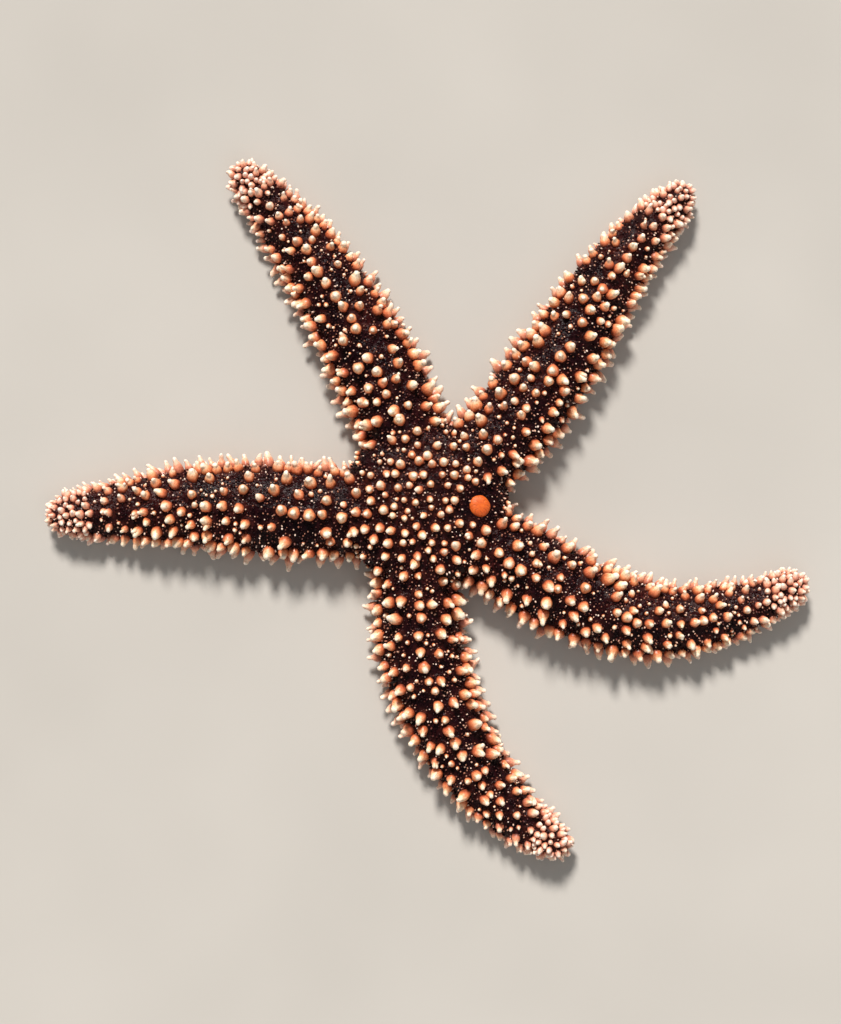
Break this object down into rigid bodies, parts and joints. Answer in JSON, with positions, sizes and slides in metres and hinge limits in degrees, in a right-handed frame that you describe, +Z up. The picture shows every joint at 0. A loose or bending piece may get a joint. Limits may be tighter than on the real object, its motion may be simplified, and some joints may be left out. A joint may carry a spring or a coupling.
{
  "type": "starfish",
  "caption": "Starfish at rest: a low domed disc with blunt, gently bent arms set with short spines, an orange sieve plate on top, and a mouth and grooves below.",
  "frame": {"origin": "middle of the footprint's bounding box, on the floor", "axes": "+Z up, square to the disc; +X towards the right-hand arm's tip and +Y between the two upper arms, seen from above"},
  "size_m": [0.152, 0.1398, 0.0139],
  "materials": {
    "skin": "wet, very dark purple-brown skin, knobbly with papulae and tiny pincers, paler underneath",
    "spines": "satin, orange-peach at the swollen root and cream at the blunt tip",
    "madreporite": "satin, vivid orange with fine branching furrows",
    "tube_feet": "wet, translucent pale tan"
  },
  "bodies": {
    "root": {"disc": "skin", "madreporite": "madreporite", "arm_1_base": "skin", "arm_1_middle": "skin", "arm_1_tip": "skin", "arm_2_base": "skin", "arm_2_middle": "skin", "arm_2_tip": "skin", "arm_3_base": "skin", "arm_3_middle": "skin", "arm_3_tip": "skin", "arm_4_base": "skin", "arm_4_middle": "skin", "arm_4_tip": "skin", "arm_5_base": "skin", "arm_5_middle": "skin", "arm_5_tip": "skin"}
  },
  "joints": []
}
